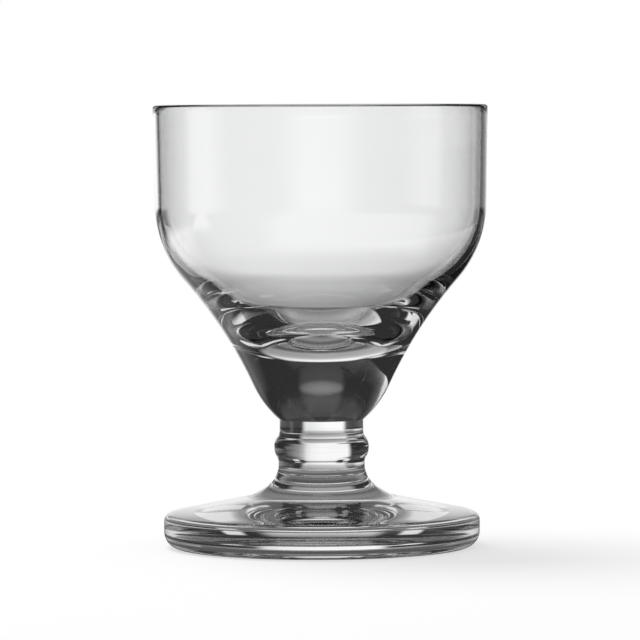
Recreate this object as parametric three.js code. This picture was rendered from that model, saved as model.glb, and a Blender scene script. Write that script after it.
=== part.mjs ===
// A small stemmed tasting glass, turned from three gathers of clear glass that are welded
// hot, one on top of the other: a foot, a short knopped stem and a heavy-based bowl.
// Every piece is a body of revolution about +Z, and the glass stands on z = 0.
// Lengths are millimetres and tilts are degrees.

import * as THREE from 'three';

const { degToRad, radToDeg } = THREE.MathUtils;

// Driving dimensions of the foot
const FOOT_RADIUS = 31.4;
const FOOT_EDGE_HEIGHT = 5.45;    // top of the upright edge, where the lip starts to round over
const FOOT_TOE_ROUNDING = 3.2;    // rounding under the edge
const FOOT_LIP_ROUNDING = 1.5;    // rounding over the edge
const FOOT_TOP_SLOPE = 11.7;      // rise of the top towards the stem, from level
const FOOT_FLARE_RADIUS = 11;     // hollow curve that lifts the top to the stem
const STANDING_RING_WIDTH = 4.2;  // flat ring that touches the table
const PUNT_DEPTH = 1;             // rise of the hollow inside that ring

// Driving dimensions of the stem
const STEM_WELD_TILT = 45;        // tilt of the outside where foot and stem are welded, from upright
const STEM_FLARE_RADIUS = 5;      // hollow curve from that weld up to the lower neck
const LOWER_NECK_LENGTH = 0.6;
const KNOP_RISE = 0.87;           // how far the knop stands out from the lower neck
const KNOP_CREST_RADIUS = 3.3;
const KNOP_FILLET_RADIUS = 1.9;
const NECK_TAPER = 0.24;          // how much slimmer the upper neck is than the lower one
const UPPER_NECK_RADIUS = 8.35;
const UPPER_NECK_LENGTH = 2.28;

// Driving dimensions of the bowl, from its weld on the stem up to the rim
const BASE_TILT = 49.2;           // tilt of the outside at the weld, from upright
const BASE_RADIUS = 20.6;         // swelling curve just above the weld
const WAIST_TILT = 24.9;          // steepest stretch of the solid base
const WAIST_RADIUS = 88.5;        // long hollow curve above it
const SHOULDER_TILT = 40.4;       // where the hollow curve has opened most
const SLOPE_LENGTH = 1.5;         // straight stretch between the hollow curve and the shoulder
const SHOULDER_RADIUS = 23;
const WALL_TAPER = 1.15;          // the wall still opens a little towards the rim
const WALL_LENGTH = 19.35;
const WALL_THICKNESS = 1.2;
const SHOULDER_THICKENING = 2.25; // how much tighter the shoulder bends inside than a wall of even thickness
const CAVITY_CONE_TILT = 46.8;    // funnel under the shoulder
const CAVITY_CONE_LENGTH = 6.4;
const CAVITY_BREAK = 3.2;         // slight bend where the funnel opens
const CAVITY_DISH_SLOPE = 5.2;    // straight stretch from that bend to the round bottom

// Fineness of the surfaces
const TURNS = 56;                 // flats around the axis
const ARC_STEP = 22.5;            // largest bend between two chords of an arc
const ARC_ERROR = 0.04;           // largest gap between an arc and its chords

// Draws half a cross-section as radius and height. The pen keeps its heading, in degrees
// anticlockwise from straight outward, so each arc runs on smoothly from the stretch before it.
class SectionPen {
  constructor(radius, height) {
    this.points = [new THREE.Vector2(radius, height)];
    this.heading = 0;
  }

  get tip() {
    return this.points.at(-1);
  }

  lineTo(radius, height) {
    this.points.push(new THREE.Vector2(radius, height));
    return this;
  }

  face(heading) {
    this.heading = heading;
    return this;
  }

  forward(length) {
    const angle = degToRad(this.heading);
    return this.lineTo(this.tip.x + length * Math.cos(angle), this.tip.y + length * Math.sin(angle));
  }

  // A positive turn bends to the left and a negative one to the right.
  arc(radius, turn) {
    const reach = radius * Math.sign(turn);
    const start = degToRad(this.heading);
    const centre = new THREE.Vector2(
      this.tip.x - reach * Math.sin(start),
      this.tip.y + reach * Math.cos(start),
    );
    const fineStep = 2 * radToDeg(Math.acos(1 - ARC_ERROR / radius));
    const steps = Math.ceil(Math.abs(turn) / Math.min(ARC_STEP, fineStep));
    for (let step = 1; step <= steps; step += 1) {
      const angle = start + degToRad(turn) * step / steps;
      this.lineTo(centre.x + reach * Math.sin(angle), centre.y - reach * Math.cos(angle));
    }
    this.heading += turn;
    return this;
  }
}

// Turns a section about the axis and stands it up along +Z.
function turned(name, section, material) {
  const geometry = new THREE.LatheGeometry(section, TURNS);
  geometry.rotateX(Math.PI / 2);
  const mesh = new THREE.Mesh(geometry, material);
  mesh.name = name;
  return mesh;
}

function clearGlass(colour) {
  return new THREE.MeshStandardMaterial({
    color: colour, roughness: 0.04, metalness: 0, transparent: true, opacity: 0.45,
  });
}

const lowerNeckRadius = UPPER_NECK_RADIUS + NECK_TAPER;
const stemWeldRadius = lowerNeckRadius + STEM_FLARE_RADIUS * (1 - Math.cos(degToRad(STEM_WELD_TILT)));

// The foot's section runs from the middle of the punt, over the standing ring and the rounded
// edge, and up the sloping top to the weld. The straight slope takes what length the flare leaves.
function footSection() {
  const ringInside = FOOT_RADIUS - FOOT_TOE_ROUNDING - STANDING_RING_WIDTH;
  const puntRadius = (ringInside ** 2 + PUNT_DEPTH ** 2) / (2 * PUNT_DEPTH);
  const puntTurn = 2 * radToDeg(Math.atan(PUNT_DEPTH / ringInside));
  const slope = degToRad(FOOT_TOP_SLOPE);
  const flareTurn = 90 - STEM_WELD_TILT - FOOT_TOP_SLOPE;
  const flareRun = FOOT_FLARE_RADIUS * (Math.cos(degToRad(STEM_WELD_TILT)) - Math.sin(slope));

  const pen = new SectionPen(0, PUNT_DEPTH);
  pen.arc(puntRadius, -puntTurn).face(0).forward(STANDING_RING_WIDTH);
  pen.arc(FOOT_TOE_ROUNDING, 90).forward(FOOT_EDGE_HEIGHT - FOOT_TOE_ROUNDING);
  pen.arc(FOOT_LIP_ROUNDING, 90 - FOOT_TOP_SLOPE);
  pen.forward((pen.tip.x - stemWeldRadius - flareRun) / Math.cos(slope));
  pen.arc(FOOT_FLARE_RADIUS, -flareTurn);
  pen.lineTo(0, pen.tip.y);
  return pen.points;
}

// The stem's section flares up from the weld to the lower neck, swells into the knop between two
// fillets, and ends in the upper neck.
function stemSection(weldHeight) {
  const knopReach = KNOP_CREST_RADIUS + KNOP_FILLET_RADIUS;
  const lowerTurn = radToDeg(Math.acos(1 - KNOP_RISE / knopReach));
  const upperTurn = radToDeg(Math.acos(1 - (KNOP_RISE + NECK_TAPER) / knopReach));

  const pen = new SectionPen(0, weldHeight).lineTo(stemWeldRadius, weldHeight);
  pen.face(90 + STEM_WELD_TILT).arc(STEM_FLARE_RADIUS, -STEM_WELD_TILT).forward(LOWER_NECK_LENGTH);
  pen.arc(KNOP_FILLET_RADIUS, -lowerTurn);
  pen.arc(KNOP_CREST_RADIUS, lowerTurn + upperTurn);
  pen.arc(KNOP_FILLET_RADIUS, -upperTurn).forward(UPPER_NECK_LENGTH);
  pen.lineTo(0, pen.tip.y);
  return pen.points;
}

// The bowl's section climbs the outside from the weld, rounds the rim, and comes down the inside
// of the wall and the funnel. The bottom is part of a sphere that runs on smoothly from the funnel.
function bowlSection(weldHeight) {
  const pen = new SectionPen(0, weldHeight).lineTo(UPPER_NECK_RADIUS, weldHeight);
  pen.face(90 - BASE_TILT).arc(BASE_RADIUS, BASE_TILT - WAIST_TILT);
  pen.arc(WAIST_RADIUS, WAIST_TILT - SHOULDER_TILT).forward(SLOPE_LENGTH);
  pen.arc(SHOULDER_RADIUS, SHOULDER_TILT - WALL_TAPER).forward(WALL_LENGTH);
  pen.arc(WALL_THICKNESS / 2, 180).forward(WALL_LENGTH);

  const bottomTilt = CAVITY_CONE_TILT + CAVITY_BREAK;
  pen.arc(SHOULDER_RADIUS - WALL_THICKNESS - SHOULDER_THICKENING, WALL_TAPER - CAVITY_CONE_TILT);
  pen.forward(CAVITY_CONE_LENGTH).face(pen.heading - CAVITY_BREAK).forward(CAVITY_DISH_SLOPE);
  pen.arc(pen.tip.x / Math.cos(degToRad(bottomTilt)), bottomTilt - 90);
  pen.tip.x = 0;
  return pen.points;
}

const foot = footSection();
const stem = stemSection(foot.at(-1).y);
const bowl = bowlSection(stem.at(-1).y);

const glass = new THREE.Group();
glass.name = 'tasting_glass';
glass.add(turned('foot', foot, clearGlass('#d9dddd')));
glass.add(turned('stem', stem, clearGlass('#dfe3e3')));
glass.add(turned('bowl', bowl, clearGlass('#e6e9e9')));

export default glass;
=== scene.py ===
# %% [markdown]
# A small tasting glass in clear glass, on a white sweep.
# The imported model is loaded first and never moved. It carries three solids, the foot, the stem and
# the bowl, and all three ride on one body called root, because nothing on a glass moves.

# %% Load the frame
import math

import bmesh
import bpy
from mathutils import Matrix, Vector


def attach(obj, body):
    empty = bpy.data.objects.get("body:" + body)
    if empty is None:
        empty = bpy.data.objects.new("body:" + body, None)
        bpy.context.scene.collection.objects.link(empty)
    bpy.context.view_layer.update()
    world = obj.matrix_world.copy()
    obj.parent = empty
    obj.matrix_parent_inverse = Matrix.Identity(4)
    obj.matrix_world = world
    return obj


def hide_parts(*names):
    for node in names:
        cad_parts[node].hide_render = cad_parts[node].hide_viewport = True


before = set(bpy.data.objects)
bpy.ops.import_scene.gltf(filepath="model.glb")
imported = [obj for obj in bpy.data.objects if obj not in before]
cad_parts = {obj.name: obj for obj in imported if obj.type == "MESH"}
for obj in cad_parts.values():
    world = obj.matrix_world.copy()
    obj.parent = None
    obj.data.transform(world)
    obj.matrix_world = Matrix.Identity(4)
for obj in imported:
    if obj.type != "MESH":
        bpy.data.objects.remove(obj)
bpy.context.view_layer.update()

MM_PER_M = 1000

# %% [markdown]
# Glass is judged by its curves: a flat on the outline that nobody would see in wood becomes a bright
# stripe in glass, because each facet bends the light its own way. So every piece is turned again here
# from straight lines and true arcs, much finer than the solids. The pen below walks along half a
# cross-section, as radius and height in millimetres, and keeps its heading in degrees, so one
# stretch runs smoothly into the next. A spline would do too, but arcs are what a glassmaker's
# template has.

# %% A pen for half sections
class SectionPen:
    def __init__(self, radius, height):
        self.points = [(radius, height)]
        self.heading = 0.0

    def tip(self):
        return self.points[-1]

    def line_to(self, radius, height):
        self.points.append((radius, height))
        return self

    def face(self, heading):
        self.heading = heading
        return self

    def forward(self, length, steps=1):
        radius, height = self.tip()
        angle = math.radians(self.heading)
        for step in range(1, steps + 1):
            reach = length * step / steps
            self.line_to(radius + reach * math.cos(angle), height + reach * math.sin(angle))
        return self

    def arc(self, arc_radius, turn, fineness=1.5):
        reach = math.copysign(arc_radius, turn)
        start = math.radians(self.heading)
        radius, height = self.tip()
        centre = (radius - reach * math.sin(start), height + reach * math.cos(start))
        steps = max(2, math.ceil(abs(turn) / fineness))
        for step in range(1, steps + 1):
            angle = start + math.radians(turn) * step / steps
            self.line_to(centre[0] + reach * math.sin(angle), centre[1] - reach * math.cos(angle))
        self.heading += turn
        return self


print("pen ready")

# %% [markdown]
# Hot glass is never quite true. It sags a little between the tools, and the faint unevenness, a few
# hundredths of a millimetre, is what makes the dark and light bands inside a glass look alive.
# A bump in the finish could hint at it, but here it is put into the mesh: a slow wave and a quicker one
# run around the axis, and both shift with height. They depend only on where a point lies, so two pieces
# that meet at a weld still fit each other.

# %% Turn a section into a closed mesh
CM3_PER_M3 = 1e6
TURNS = 192
UNEVENNESS = 0.025
SLOW_WAVES, SLOW_LEAN, SLOW_START, SLOW_SHARE = 2, 0.11, 0.6, 0.6
QUICK_WAVES, QUICK_LEAN, QUICK_START, QUICK_SHARE = 5, -0.19, 2.1, 0.4
FULLY_UNEVEN_RADIUS = 8
ON_THE_AXIS = 1e-6
ON_A_WELD = 1e-4
SHARP_EDGE = 30


def uneven(angle, height):
    slow = math.sin(SLOW_WAVES * angle + SLOW_LEAN * height + SLOW_START)
    quick = math.sin(QUICK_WAVES * angle + QUICK_LEAN * height + QUICK_START)
    return UNEVENNESS * (SLOW_SHARE * slow + QUICK_SHARE * quick)


def ring_of_points(mesh, radius, height):
    level = height / MM_PER_M
    if radius < ON_THE_AXIS:
        return [mesh.verts.new((0, 0, level))]
    ring = []
    for turn in range(TURNS):
        angle = 2 * math.pi * turn / TURNS
        sag = uneven(angle, height) * min(1, radius / FULLY_UNEVEN_RADIUS)
        reach = (radius + sag) / MM_PER_M
        ring.append(mesh.verts.new((reach * math.cos(angle), reach * math.sin(angle), level)))
    return ring


def lies_at(face, height):
    return all(abs(vert.co.z * MM_PER_M - height) < ON_A_WELD for vert in face.verts)


def turned_piece(name, section, weld_heights):
    mesh = bmesh.new()
    rings = [ring_of_points(mesh, radius, height) for radius, height in section]
    for lower, upper in zip(rings, rings[1:]):
        for turn in range(TURNS):
            following = (turn + 1) % TURNS
            corners = [lower[turn % len(lower)], lower[following % len(lower)],
                       upper[following % len(upper)], upper[turn % len(upper)]]
            mesh.faces.new(list(dict.fromkeys(corners)))
    mesh.normal_update()
    if mesh.calc_volume(signed=True) < 0:
        bmesh.ops.reverse_faces(mesh, faces=mesh.faces)
    for face in mesh.faces:
        face.smooth = True
        face.material_index = 1 if any(lies_at(face, height) for height in weld_heights) else 0
    data = bpy.data.meshes.new(name)
    mesh.to_mesh(data)
    volume = round(CM3_PER_M3 * mesh.calc_volume(), 2)
    print(name, "has", len(mesh.faces), "faces and", volume, "cubic centimetres")
    mesh.free()
    data.set_sharp_from_angle(angle=math.radians(SHARP_EDGE))
    piece = bpy.data.objects.new(name, data)
    bpy.context.scene.collection.objects.link(piece)
    return piece


print("every piece is turned in", TURNS, "steps and uneven by up to", UNEVENNESS, "mm")

# %% [markdown]
# Clear soda-lime glass bends light with an index of about 1.52 and has almost no colour of its own:
# a touch of grey-green that shows only where it is thick. Principled BSDF with full transmission is
# the plainest recipe, and it also travels well to other programs. Two fine details keep it from
# looking like empty maths: a chill wave, left where the hot skin met the tool, as a very shallow bump,
# and a trace of handling haze in the roughness.

# %% Clear glass
GLASS_INDEX = 1.52
CHILL_WAVE_DEPTH = 0.00001
TOUCH_MARKS_PER_METRE = 220
TOUCH_STARTS, TOUCH_FULL = 0.5, 0.8
THICK_GLASS_TINT = (0.985, 0.99, 0.99)
BOWL_TINT = (0.99, 0.993, 0.993)


def clear_glass(name, tint, wave_size, haze):
    material = bpy.data.materials.new(name)
    material.use_nodes = True
    nodes, links = material.node_tree.nodes, material.node_tree.links
    shader = nodes["Principled BSDF"]
    shader.inputs["Base Color"].default_value = (*tint, 1)
    shader.inputs["Transmission Weight"].default_value = 1.0
    shader.inputs["IOR"].default_value = GLASS_INDEX

    place = nodes.new("ShaderNodeTexCoord")
    chill_wave = nodes.new("ShaderNodeTexNoise")
    chill_wave.inputs["Scale"].default_value = 1 / wave_size
    chill_wave.inputs["Detail"].default_value = 1.0
    links.new(place.outputs["Object"], chill_wave.inputs["Vector"])
    bump = nodes.new("ShaderNodeBump")
    bump.inputs["Strength"].default_value = 1.0
    bump.inputs["Distance"].default_value = CHILL_WAVE_DEPTH
    links.new(chill_wave.outputs["Fac"], bump.inputs["Height"])
    links.new(bump.outputs["Normal"], shader.inputs["Normal"])

    touch = nodes.new("ShaderNodeTexNoise")
    touch.inputs["Scale"].default_value = TOUCH_MARKS_PER_METRE
    touch.inputs["Detail"].default_value = 4.0
    links.new(place.outputs["Object"], touch.inputs["Vector"])
    spread = nodes.new("ShaderNodeMapRange")
    spread.inputs["From Min"].default_value = TOUCH_STARTS
    spread.inputs["From Max"].default_value = TOUCH_FULL
    spread.inputs["To Min"].default_value = 0.0
    spread.inputs["To Max"].default_value = haze
    links.new(touch.outputs["Fac"], spread.inputs["Value"])
    links.new(spread.outputs["Result"], shader.inputs["Roughness"])
    return material


print("clear glass with an index of", GLASS_INDEX)

# %% [markdown]
# At a hot weld the two gathers become one glass and nothing bends the light there. The pieces stay
# separate closed bodies, so each has a flat face at its weld, and that face gets a see-through
# finish. The eye then passes from bowl to stem without meeting a surface.

# %% Fused weld faces
def bare_material(name):
    material = bpy.data.materials.new(name)
    material.use_nodes = True
    nodes, links = material.node_tree.nodes, material.node_tree.links
    nodes.remove(nodes["Principled BSDF"])
    return material, nodes, links, nodes["Material Output"].inputs["Surface"]


def fused_weld():
    material, nodes, links, surface = bare_material("fused_weld")
    clear = nodes.new("ShaderNodeBsdfTransparent")
    links.new(clear.outputs["BSDF"], surface)
    return material


weld_finish = fused_weld()
print("weld finish ready")

# %% [markdown]
# The foot is a thick disc, pressed while soft: a standing ring underneath with a shallow hollow, the
# punt, inside it, a rounded upright edge, and a top that slopes up and flares into the stem. Only
# the ring touches the table, so a small unevenness of the table can't make the glass rock.

# %% The foot
FOOT_RADIUS = 31.4
FOOT_EDGE_HEIGHT = 5.45
FOOT_TOE_ROUNDING = 3.2
FOOT_LIP_ROUNDING = 1.5
FOOT_TOP_SLOPE = 11.7
FOOT_FLARE_RADIUS = 11.0
STANDING_RING_WIDTH = 4.2
PUNT_DEPTH = 1.0
STEM_WELD_TILT = 45.0
STEM_FLARE_RADIUS = 5.0
UPPER_NECK_RADIUS = 8.35
NECK_TAPER = 0.24

lower_neck_radius = UPPER_NECK_RADIUS + NECK_TAPER
stem_weld_radius = lower_neck_radius + STEM_FLARE_RADIUS * (1 - math.cos(math.radians(STEM_WELD_TILT)))


def foot_section():
    ring_inside = FOOT_RADIUS - FOOT_TOE_ROUNDING - STANDING_RING_WIDTH
    punt_radius = (ring_inside ** 2 + PUNT_DEPTH ** 2) / (2 * PUNT_DEPTH)
    punt_turn = 2 * math.degrees(math.atan(PUNT_DEPTH / ring_inside))
    slope = math.radians(FOOT_TOP_SLOPE)
    flare_run = FOOT_FLARE_RADIUS * (math.cos(math.radians(STEM_WELD_TILT)) - math.sin(slope))
    pen = SectionPen(0, PUNT_DEPTH)
    pen.arc(punt_radius, -punt_turn, fineness=0.5).face(0).forward(STANDING_RING_WIDTH)
    pen.arc(FOOT_TOE_ROUNDING, 90, fineness=5).forward(FOOT_EDGE_HEIGHT - FOOT_TOE_ROUNDING, steps=3)
    pen.arc(FOOT_LIP_ROUNDING, 90 - FOOT_TOP_SLOPE, fineness=5)
    pen.forward((pen.tip()[0] - stem_weld_radius - flare_run) / math.cos(slope), steps=8)
    pen.arc(FOOT_FLARE_RADIUS, STEM_WELD_TILT + FOOT_TOP_SLOPE - 90)
    return pen.line_to(0, pen.tip()[1]).points


foot_outline = foot_section()
foot_weld_height = foot_outline[-1][1]
foot = turned_piece("round_foot", foot_outline, [foot_weld_height])
foot.data.materials.append(clear_glass("foot_clear_glass", THICK_GLASS_TINT, wave_size=0.012, haze=0.02))
foot.data.materials.append(weld_finish)
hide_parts("foot")
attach(foot, "root")
print("foot weld at", round(foot_weld_height, 3), "mm")

# %% [markdown]
# The stem is drawn from its own gather and pinched twice with the jacks, which leaves one rounded
# knop between two necks. It is solid, so it works as an upright cylinder lens: it throws the
# picture of the white sweep into its middle and the dark sides of the room into its edges.

# %% The stem
LOWER_NECK_LENGTH = 0.6
KNOP_RISE = 0.87
KNOP_CREST_RADIUS = 3.3
KNOP_FILLET_RADIUS = 1.9
UPPER_NECK_LENGTH = 2.28


def stem_section(weld_height):
    knop_reach = KNOP_CREST_RADIUS + KNOP_FILLET_RADIUS
    lower_turn = math.degrees(math.acos(1 - KNOP_RISE / knop_reach))
    upper_turn = math.degrees(math.acos(1 - (KNOP_RISE + NECK_TAPER) / knop_reach))
    pen = SectionPen(0, weld_height).line_to(stem_weld_radius, weld_height)
    pen.face(90 + STEM_WELD_TILT).arc(STEM_FLARE_RADIUS, -STEM_WELD_TILT).forward(LOWER_NECK_LENGTH)
    pen.arc(KNOP_FILLET_RADIUS, -lower_turn, fineness=3)
    pen.arc(KNOP_CREST_RADIUS, lower_turn + upper_turn, fineness=3)
    pen.arc(KNOP_FILLET_RADIUS, -upper_turn, fineness=3).forward(UPPER_NECK_LENGTH, steps=3)
    return pen.line_to(0, pen.tip()[1]).points


stem_outline = stem_section(foot_weld_height)
stem_weld_height = stem_outline[-1][1]
stem = turned_piece("knopped_stem", stem_outline, [foot_weld_height, stem_weld_height])
stem.data.materials.append(clear_glass("stem_clear_glass", THICK_GLASS_TINT, wave_size=0.009, haze=0.02))
stem.data.materials.append(weld_finish)
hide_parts("stem")
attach(stem, "root")
print("stem runs up to", round(stem_weld_height, 3), "mm")

# %% [markdown]
# The bowl holds the weight: its lower quarter is solid, swelling out of the weld, hollowing through a
# long waist and rounding over a shoulder into an almost upright wall. Inside, the cavity turns in
# sooner than the outside does, so the wall thickens like a wedge. That wedge bends the view downward,
# which is why the lower bowl shows the floor, and the solid base below it looks almost black.
# The rim is rounded by the fire into a half round, as wide as the wall.

# %% The bowl
BASE_TILT = 49.2
BASE_RADIUS = 20.6
WAIST_TILT = 24.9
WAIST_RADIUS = 88.5
SHOULDER_TILT = 40.4
SLOPE_LENGTH = 1.5
SHOULDER_RADIUS = 23.0
WALL_TAPER = 1.15
WALL_LENGTH = 19.35
WALL_THICKNESS = 1.2
SHOULDER_THICKENING = 2.25
CAVITY_CONE_TILT = 46.8
CAVITY_CONE_LENGTH = 6.4
CAVITY_BREAK = 3.2
CAVITY_DISH_SLOPE = 5.2


def bowl_section(weld_height):
    pen = SectionPen(0, weld_height).line_to(UPPER_NECK_RADIUS, weld_height)
    pen.face(90 - BASE_TILT).arc(BASE_RADIUS, BASE_TILT - WAIST_TILT, fineness=1)
    pen.arc(WAIST_RADIUS, WAIST_TILT - SHOULDER_TILT, fineness=0.5).forward(SLOPE_LENGTH, steps=2)
    pen.arc(SHOULDER_RADIUS, SHOULDER_TILT - WALL_TAPER, fineness=1).forward(WALL_LENGTH, steps=12)
    pen.arc(WALL_THICKNESS / 2, 180, fineness=9).forward(WALL_LENGTH, steps=12)
    inner_shoulder = SHOULDER_RADIUS - WALL_THICKNESS - SHOULDER_THICKENING
    pen.arc(inner_shoulder, WALL_TAPER - CAVITY_CONE_TILT, fineness=1).forward(CAVITY_CONE_LENGTH, steps=4)
    pen.face(pen.heading - CAVITY_BREAK).forward(CAVITY_DISH_SLOPE, steps=4)
    bottom_tilt = CAVITY_CONE_TILT + CAVITY_BREAK
    pen.arc(pen.tip()[0] / math.cos(math.radians(bottom_tilt)), bottom_tilt - 90, fineness=1)
    pen.points[-1] = (0, pen.tip()[1])
    return pen.points


bowl_outline = bowl_section(stem_weld_height)
bowl = turned_piece("drinking_bowl", bowl_outline, [stem_weld_height])
bowl.data.materials.append(clear_glass("bowl_clear_glass", BOWL_TINT, wave_size=0.014, haze=0.015))
bowl.data.materials.append(weld_finish)
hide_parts("bowl")
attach(bowl, "root")
rim_height = max(height for _, height in bowl_outline)
print("bowl from", round(stem_weld_height, 2), "to", round(rim_height, 2), "mm")

# %% [markdown]
# The camera stands one metre away with a long lens, a little above the height of the rim, so the rim
# closes to a line and the foot is seen from above. It leans by a quarter of a degree. The lens is
# worked out from its length in pixels, because that is what an outline in a picture can give.

# %% The camera
CAMERA_DISTANCE = 1.0
CAMERA_HEIGHT = 0.0915
LOOK_HEIGHT = 0.04521
FOCAL_PIXELS = 5034.0
PICTURE_PIXELS = 640
SENSOR_WIDTH = 36
CAMERA_LEAN = 0.25
SIDE_STEP = -0.0002
FARTHEST_VIEW = 60

camera_data = bpy.data.cameras.new("camera")
camera_data.sensor_width = SENSOR_WIDTH
camera_data.lens = FOCAL_PIXELS / PICTURE_PIXELS * SENSOR_WIDTH
camera_data.clip_end = FARTHEST_VIEW
camera = bpy.data.objects.new("camera", camera_data)
bpy.context.scene.collection.objects.link(camera)
down_tilt = math.atan((CAMERA_HEIGHT - LOOK_HEIGHT) / CAMERA_DISTANCE)
camera.matrix_world = (Matrix.Translation((SIDE_STEP, -CAMERA_DISTANCE, CAMERA_HEIGHT))
                       @ Matrix.Rotation(math.radians(90) - down_tilt, 4, "X")
                       @ Matrix.Rotation(math.radians(-CAMERA_LEAN), 4, "Z"))
bpy.context.scene.camera = camera
print("lens", round(camera_data.lens, 1), "mm, looking down", round(math.degrees(down_tilt), 2), "degrees")

# %% [markdown]
# The floor is a plain white sweep. The camera sees it as white with the soft shadow of the glass on
# it. To the glass it is less even, with painted light and shade: grey painted shade close by, a painted
# dark line around the foot, painted light under the foot where light would come down through the glass,
# a painted lift towards the left, and white further off. A painted picture could hold that too, but a
# brightness worked out from distance and direction stays sharp and easy to change. Distances are in
# metres, and directions in degrees from straight behind, turning to the right.

# %% How bright the sweep is to the glass
WHITE = 1.0
BEHIND, FRONT, LEFT = 0, 180, 270
# Painted shade: dark at the foot and lifting in steps to white further off. Painted light under and in front
# of the foot.
PAINTED_SHADE_AT_FOOT = 0.04
SWEEP_BRIGHTENS = [((0.031, 0.044), 0.07), ((0.043, 0.052), 0.27), ((0.05, 0.16), 0.2),
                   ((0.14, 0.23), 0.3), ((0.2, 0.6), 0.15)]
LEFT_GAIN, GAIN_LEFT_END, GAIN_RIGHT_END = 0.012, -16, 10
PAINTED_LIGHT_UNDER_FOOT = [(0.0, 0.28), (0.01, 0.28), (0.013, 0.1), (0.018, 0.16),
                   (0.024, 0.26), (0.03, 0.24), (0.033, 0.08)]
BACK_HALF = (-0.004, 0.006)
SIDE_PATCH_STARTS, SIDE_PATCH_ENDS, SIDE_PATCH_REACH = (9, 16), (26, 40), (0.018, 0.024)
SIDE_PATCH_GAIN = 2.4
PAINTED_LIGHT_IN_FRONT, FRONT_PATCH_STARTS, FRONT_PATCH_REACH = 0.5, (35, 60), (0.023, 0.031)
OPEN_GLOW, ASIDE_STARTS, ASIDE_REACH = 0.95, (28, 40), (0.034, 0.05)


def rising(span, value):
    low, high = span
    share = min(1, max(0, (value - low) / (high - low)))
    return share * share * (3 - 2 * share)


def falling(span, value):
    return 1 - rising(span, value)


def along(table, place):
    for (start, low), (end, high) in zip(table, table[1:]):
        if place <= end:
            return low + (high - low) * max(0, place - start) / (end - start)
    return table[-1][1]


def turned_away(azimuth, direction):
    return abs((azimuth - direction + 180) % 360 - 180)


# Works out the painted light and shade the sweep shows to the glass, painted a little lighter towards the
# left.
def painted_sweep_light(x, y):
    reach = math.hypot(x, y)
    azimuth = math.degrees(math.atan2(x, y))
    away = turned_away(azimuth, BEHIND)
    side_patch = rising(SIDE_PATCH_STARTS, away) * falling(SIDE_PATCH_ENDS, away)
    side_patch *= rising(SIDE_PATCH_REACH, reach)
    under_foot = along(PAINTED_LIGHT_UNDER_FOOT, reach) * (1 + SIDE_PATCH_GAIN * side_patch) * rising(BACK_HALF, y)
    in_front = PAINTED_LIGHT_IN_FRONT * falling(FRONT_PATCH_REACH, reach) * rising(FRONT_PATCH_STARTS, away)
    leftward = 1 - LEFT_GAIN * max(GAIN_LEFT_END, min(GAIN_RIGHT_END, azimuth))
    brightened = sum(gain * rising(span, reach) for span, gain in SWEEP_BRIGHTENS)
    behind = min(WHITE, (PAINTED_SHADE_AT_FOOT + brightened) * leftward)
    aside = OPEN_GLOW * rising(ASIDE_STARTS, away) * rising(ASIDE_REACH, reach)
    return max(behind, under_foot, in_front, aside)


print("behind the foot, at 50, 150 and 400 mm:", [round(painted_sweep_light(0, y), 2) for y in (0.05, 0.15, 0.4)])

# %% [markdown]
# The sweep itself is a flat disc of rings and spokes. The rings lie close together near the glass, where
# the painted brightness changes fast, and grow apart further off. Two numbers are written on every point:
# the painted light and shade the floor shows to the glass, and how much of the lit floor, with its real
# shadow, the camera sees there.

# %% The sweep
INNER_RING, FLOOR_EDGE = 0.008, 6.0
FLOOR_SPOKES = 96
SHADOW_SHARE, SHADOW_FADE = 0.35, (0.1, 0.4)


def growing(start, end, least_step, growth):
    places = [start]
    while places[-1] + max(least_step, growth * places[-1]) < end:
        places.append(places[-1] + max(least_step, growth * places[-1]))
    return places + [end]


def circle_point(reach, azimuth, height):
    angle = math.radians(azimuth)
    return reach * math.sin(angle), reach * math.cos(angle), height


def shadow_share(x, y):
    return SHADOW_SHARE * falling(SHADOW_FADE, math.hypot(x, y))


def strip_faces(rows, columns):
    faces = []
    for row in range(rows - 1):
        for column in range(columns):
            following = (column + 1) % columns
            faces.append((row * columns + column, (row + 1) * columns + column,
                          (row + 1) * columns + following, row * columns + following))
    return faces


def stage_object(name, points, columns, numbers):
    data = bpy.data.meshes.new(name)
    data.from_pydata(points, [], strip_faces(len(points) // columns, columns))
    for title, values in numbers.items():
        layer = data.attributes.new(title, "FLOAT", "POINT")
        layer.data.foreach_set("value", values)
    thing = bpy.data.objects.new(name, data)
    bpy.context.scene.collection.objects.link(thing)
    return thing


floor_rings = [0.0] + growing(INNER_RING, FLOOR_EDGE, least_step=0.003, growth=0.12)
floor_points = [circle_point(radius, 360 * spoke / FLOOR_SPOKES, 0)
                for radius in floor_rings for spoke in range(FLOOR_SPOKES)]
sweep = stage_object("sweep", floor_points, FLOOR_SPOKES, {
    "painted_light_to_glass": [painted_sweep_light(x, y) for x, y, _ in floor_points],
    "shadow_share": [shadow_share(x, y) for x, y, _ in floor_points],
})
print("sweep of", len(sweep.data.polygons), "faces")

# %% [markdown]
# Three kinds of ray read the sweep. The camera gets white with a share of real, lit floor in it, and
# that share is what carries the shadow. Rays that come through or off the glass get the painted light
# and shade written on the floor, as emission. All other rays find an ordinary pale floor.

# %% The finish of the sweep
PALE_FLOOR = (0.8, 0.8, 0.8, 1)


def written_number(nodes, title):
    number = nodes.new("ShaderNodeAttribute")
    number.attribute_name = title
    return number.outputs["Fac"]


def mixed(nodes, links, share, first, second):
    mix = nodes.new("ShaderNodeMixShader")
    links.new(share, mix.inputs["Fac"])
    links.new(first, mix.inputs[1])
    links.new(second, mix.inputs[2])
    return mix.outputs["Shader"]


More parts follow.
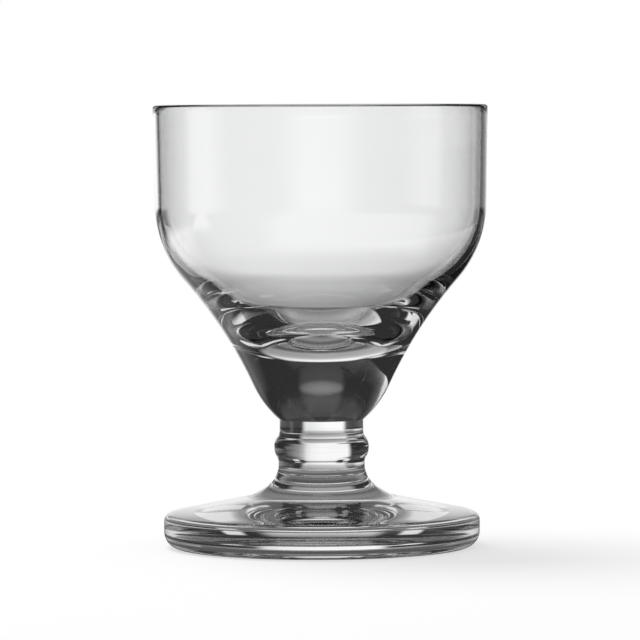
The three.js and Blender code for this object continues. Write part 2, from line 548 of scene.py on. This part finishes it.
def sweep_finish():
    material, nodes, links, surface = bare_material("white_sweep")
    pale_floor = nodes.new("ShaderNodeBsdfDiffuse")
    pale_floor.inputs["Color"].default_value = PALE_FLOOR
    lit = pale_floor.outputs["BSDF"]
    white = nodes.new("ShaderNodeEmission").outputs["Emission"]
    shaded = nodes.new("ShaderNodeEmission")
    # The painted light and shade written on the sweep sets this emission, which only the glass sees.
    links.new(written_number(nodes, "painted_light_to_glass"), shaded.inputs["Strength"])
    path = nodes.new("ShaderNodeLightPath")
    from_glass = nodes.new("ShaderNodeMath")
    from_glass.operation = "MAXIMUM"
    links.new(path.outputs["Is Glossy Ray"], from_glass.inputs[0])
    links.new(path.outputs["Is Transmission Ray"], from_glass.inputs[1])
    seen = mixed(nodes, links, written_number(nodes, "shadow_share"), white, lit)
    other = mixed(nodes, links, path.outputs["Is Camera Ray"], lit, seen)
    links.new(mixed(nodes, links, from_glass.outputs["Value"], other, shaded.outputs["Emission"]), surface)
    return material


sweep.data.materials.append(sweep_finish())
print("sweep finished with", len(sweep.data.materials[0].node_tree.nodes), "nodes")

# %% [markdown]
# Clear glass on white would vanish. Photographers give it an outline with black cards around the set,
# out of the picture: the rim, the neck and the solid base bend the view so far that they show the cards
# and go dark. Here the cards make one tent, which lies on the floor around the glass, climbs to a wall
# and closes overhead. It could be many cut cards, but one sheet with soft openings is better: a hard
# edge would show as a line in the wall of the bowl.
# The floor stays open behind the glass, in the far corner at the left, from the right round to the
# front, and along a strip to the left, so the glass stands on white from those sides too.

# %% Openings in the cards on the floor
OPEN_BEHIND_LEFT, OPEN_BEHIND_RIGHT = (20, 27), (14, 20)
FAR_CORNER = [(276, 0.0), (286, 1.0), (316, 1.0), (326, 0.6), (340, 0.6), (346, 1.0)]
FAR_CORNER_REACH = [(0.055, 0.0), (0.07, 0.35), (0.1, 0.6), (0.14, 0.95), (0.25, 1.0), (0.3, 0.0)]
NEAR_CORNER = [(90, 0.0), (104, 0.8), (205, 0.8), (225, 0.0)]
NEAR_CORNER_STARTS, NEAR_CORNER_ENDS, FRONT_LANE_EDGE = (0.07, 0.1), (0.42, 0.52), (18, 28)
LEFT_STRIP_EDGE, LEFT_STRIP_STARTS = (0.032, 0.048), (0.18, 0.23)


def left_strip_open(azimuth, reach):
    away = math.radians(azimuth - LEFT)
    if math.cos(away) < 0:
        return 0.0
    return falling(LEFT_STRIP_EDGE, reach * abs(math.sin(away))) * rising(LEFT_STRIP_STARTS, reach)


def floor_open(azimuth, reach):
    edge_behind = OPEN_BEHIND_LEFT if azimuth > FRONT else OPEN_BEHIND_RIGHT
    behind = falling(edge_behind, turned_away(azimuth, BEHIND))
    far_corner = along(FAR_CORNER, azimuth) * along(FAR_CORNER_REACH, reach)
    off_front = rising(FRONT_LANE_EDGE, turned_away(azimuth, FRONT))
    near_corner = along(NEAR_CORNER, azimuth) * rising(NEAR_CORNER_STARTS, reach)
    near_corner *= 1 - off_front * rising(NEAR_CORNER_ENDS, reach)
    return max(behind, left_strip_open(azimuth, reach), far_corner, near_corner)


print("floor open behind, left and in front at 300 mm:",
      [round(floor_open(direction, 0.3), 2) for direction in (BEHIND, LEFT, FRONT)])

# %% [markdown]
# In the wall there is a tall window behind the glass, brightest low down. At the height of the glass it
# widens into a level band, which ends sooner at the left and fades slowly at the right. A narrow upright
# stripe stands at each side of the window. Low windows at the left and in front are mirrored in the bowl
# and keep it clear from other sides. All heights here are angles seen from the middle of the glass.

# %% Openings in the wall
WINDOW_LEVEL = [(4, 1.0), (9, 0.9), (14, 0.5), (20, 0.35), (26, 0.24), (31.5, 0.22), (33, 0.05), (50, 0.03)]
WINDOW_EDGE = (12, 17)
RIGHT_FADE = [(0, 1.0), (8, 0.93), (12, 0.8), (16, 0.45), (20, 0.28), (30, 0.12), (40, 0.0)]
WINDOW_FADE_LIMIT = 12
BAND_FOOT, BAND_TOP, BAND_LEFT_EDGE = (-1, 0.5), (4, 6), (23, 30)
STRIPE_DIRECTION, STRIPE_EDGE, STRIPE_LEVEL = 24.5, (2.5, 4.5), 0.8
STRIPE_FOOT, STRIPE_TOP = (4, 6), (16, 20)
LEFT_WINDOW = [(0, 0.0), (244, 0.0), (262, 1.0), (278, 1.0), (287, 0.0), (360, 0.0)]
LEFT_WINDOW_TOP = (4, 8)
FRONT_LEVEL, FRONT_EDGE, FRONT_TOP = 0.9, (8, 36), (0.5, 5)


def wall_open(azimuth, elevation):
    away = turned_away(azimuth, BEHIND)
    window = along(WINDOW_LEVEL, elevation) * falling(WINDOW_EDGE, away)
    band = rising(BAND_FOOT, elevation) * falling(BAND_TOP, elevation)
    if azimuth < FRONT:
        window *= along(RIGHT_FADE, min(azimuth, WINDOW_FADE_LIMIT))
        band *= along(RIGHT_FADE, azimuth)
    else:
        band *= falling(BAND_LEFT_EDGE, away)
    stripe = STRIPE_LEVEL * falling(STRIPE_EDGE, abs(away - STRIPE_DIRECTION))
    stripe *= rising(STRIPE_FOOT, elevation) * falling(STRIPE_TOP, elevation)
    left_side = OPEN_GLOW * along(LEFT_WINDOW, azimuth) * falling(LEFT_WINDOW_TOP, elevation)
    front = FRONT_LEVEL * falling(FRONT_EDGE, turned_away(azimuth, FRONT)) * falling(FRONT_TOP, elevation)
    return max(window, band, stripe, left_side, front)


print("wall open behind at 0, 10 and 30 degrees up:", [round(wall_open(BEHIND, up), 2) for up in (0, 10, 30)])

# %% [markdown]
# The tent is made like the sweep, row by row, with the number that closes it written on its points. Its
# finish mixes black card with nothing by that number. The card is given a trace of light, because real
# black card is never quite black. Only rays from the glass meet the tent, and it throws no shadow.

# %% Black cards
CARD_DISTANCE = 0.55
CARD_START, CARD_HEIGHT = 0.03, 0.0006
CARD_SPOKES = 360
LOW_WALL_ANGLES = [step / 2 for step in range(-8, 17)]
HIGH_WALL_ANGLES = list(range(10, 51, 2))
ROOF_REACH = [0.4, 0.2, 0.0]
EYE_HEIGHT = 0.045
CARD_GREY = 0.028


def wall_height(angle):
    return EYE_HEIGHT + CARD_DISTANCE * math.tan(math.radians(angle))


def tent_rows():
    for reach in growing(CARD_START, CARD_DISTANCE, least_step=0.005, growth=0.1):
        yield reach, CARD_HEIGHT, lambda azimuth, reach=reach: floor_open(azimuth, reach)
    for angle in LOW_WALL_ANGLES + HIGH_WALL_ANGLES:
        yield CARD_DISTANCE, wall_height(angle), lambda azimuth, angle=angle: wall_open(azimuth, angle)
    for reach in ROOF_REACH:
        yield reach, wall_height(HIGH_WALL_ANGLES[-1]), lambda azimuth: 0.0


def card_finish():
    material, nodes, links, surface = bare_material("black_card")
    black = nodes.new("ShaderNodeEmission")
    black.inputs["Strength"].default_value = CARD_GREY
    clear = nodes.new("ShaderNodeBsdfTransparent")
    links.new(mixed(nodes, links, written_number(nodes, "cover"), clear.outputs["BSDF"],
                    black.outputs["Emission"]), surface)
    return material


tent_points, tent_cover = [], []
for reach, height, opening in tent_rows():
    for spoke in range(CARD_SPOKES):
        azimuth = 360 * spoke / CARD_SPOKES
        tent_points.append(circle_point(reach, azimuth, height))
        tent_cover.append(1 - opening(azimuth))
tent = stage_object("black_cards", tent_points, CARD_SPOKES, {"cover": tent_cover})
tent.data.materials.append(card_finish())
tent.visible_camera = False
tent.visible_diffuse = False
tent.visible_shadow = False
print("tent of", len(tent.data.polygons), "faces, roof at", round(MM_PER_M * tent_points[-1][2]), "mm")

# %% [markdown]
# The light is one large soft lamp above, behind and to the left, at a plain level. The glass doesn't
# show it, and on the floor it gives the glass a soft shadow.

# %% The lamp
LAMP_SIZE, LAMP_WATTS = 0.7, 9.0
LAMP_PLACE = (-0.35, 0.3, 0.9)

lamp_data = bpy.data.lights.new("soft_lamp", "AREA")
lamp_data.shape = "DISK"
lamp_data.size = LAMP_SIZE
lamp_data.energy = LAMP_WATTS
lamp = bpy.data.objects.new("soft_lamp", lamp_data)
bpy.context.scene.collection.objects.link(lamp)
lamp.location = LAMP_PLACE
lamp.rotation_euler = (Vector((0, 0, 0)) - lamp.location).to_track_quat("-Z", "Y").to_euler()
lamp.visible_glossy = False
lamp.visible_transmission = False
print("lamp of", lamp_data.energy, "watts")

# %% [markdown]
# The world is an even white room. It is full white to the camera and to rays that leave the glass, and
# lower to the rest, so the floor isn't burnt out. Light Path tells those rays apart. Glass also needs
# many bounces, or its depths turn black for want of light.

# %% World and bounces
ROOM_LEVEL = 0.6
GLASS_BOUNCES, MIRROR_BOUNCES = 32, 16

world = bpy.data.worlds.new("white_room")
bpy.context.scene.world = world
world.use_nodes = True
world_nodes, world_links = world.node_tree.nodes, world.node_tree.links
background = world_nodes["Background"]
background.inputs["Color"].default_value = (1, 1, 1, 1)
world_path = world_nodes.new("ShaderNodeLightPath")
any_view = world_nodes.new("ShaderNodeMath")
any_view.operation = "ADD"
seen_through = world_nodes.new("ShaderNodeMath")
seen_through.operation = "ADD"
any_view.use_clamp = True
world_links.new(world_path.outputs["Is Glossy Ray"], seen_through.inputs[0])
world_links.new(world_path.outputs["Is Transmission Ray"], seen_through.inputs[1])
world_links.new(world_path.outputs["Is Camera Ray"], any_view.inputs[0])
world_links.new(seen_through.outputs["Value"], any_view.inputs[1])
level = world_nodes.new("ShaderNodeMapRange")
level.inputs["To Min"].default_value = ROOM_LEVEL
level.inputs["To Max"].default_value = WHITE
world_links.new(any_view.outputs["Value"], level.inputs["Value"])
world_links.new(level.outputs["Result"], background.inputs["Strength"])

scene = bpy.context.scene
scene.view_settings.view_transform = "Standard"
scene.cycles.max_bounces = GLASS_BOUNCES
scene.cycles.transmission_bounces = GLASS_BOUNCES
scene.cycles.glossy_bounces = MIRROR_BOUNCES
scene.cycles.transparent_max_bounces = GLASS_BOUNCES
print("white room,", GLASS_BOUNCES, "bounces")
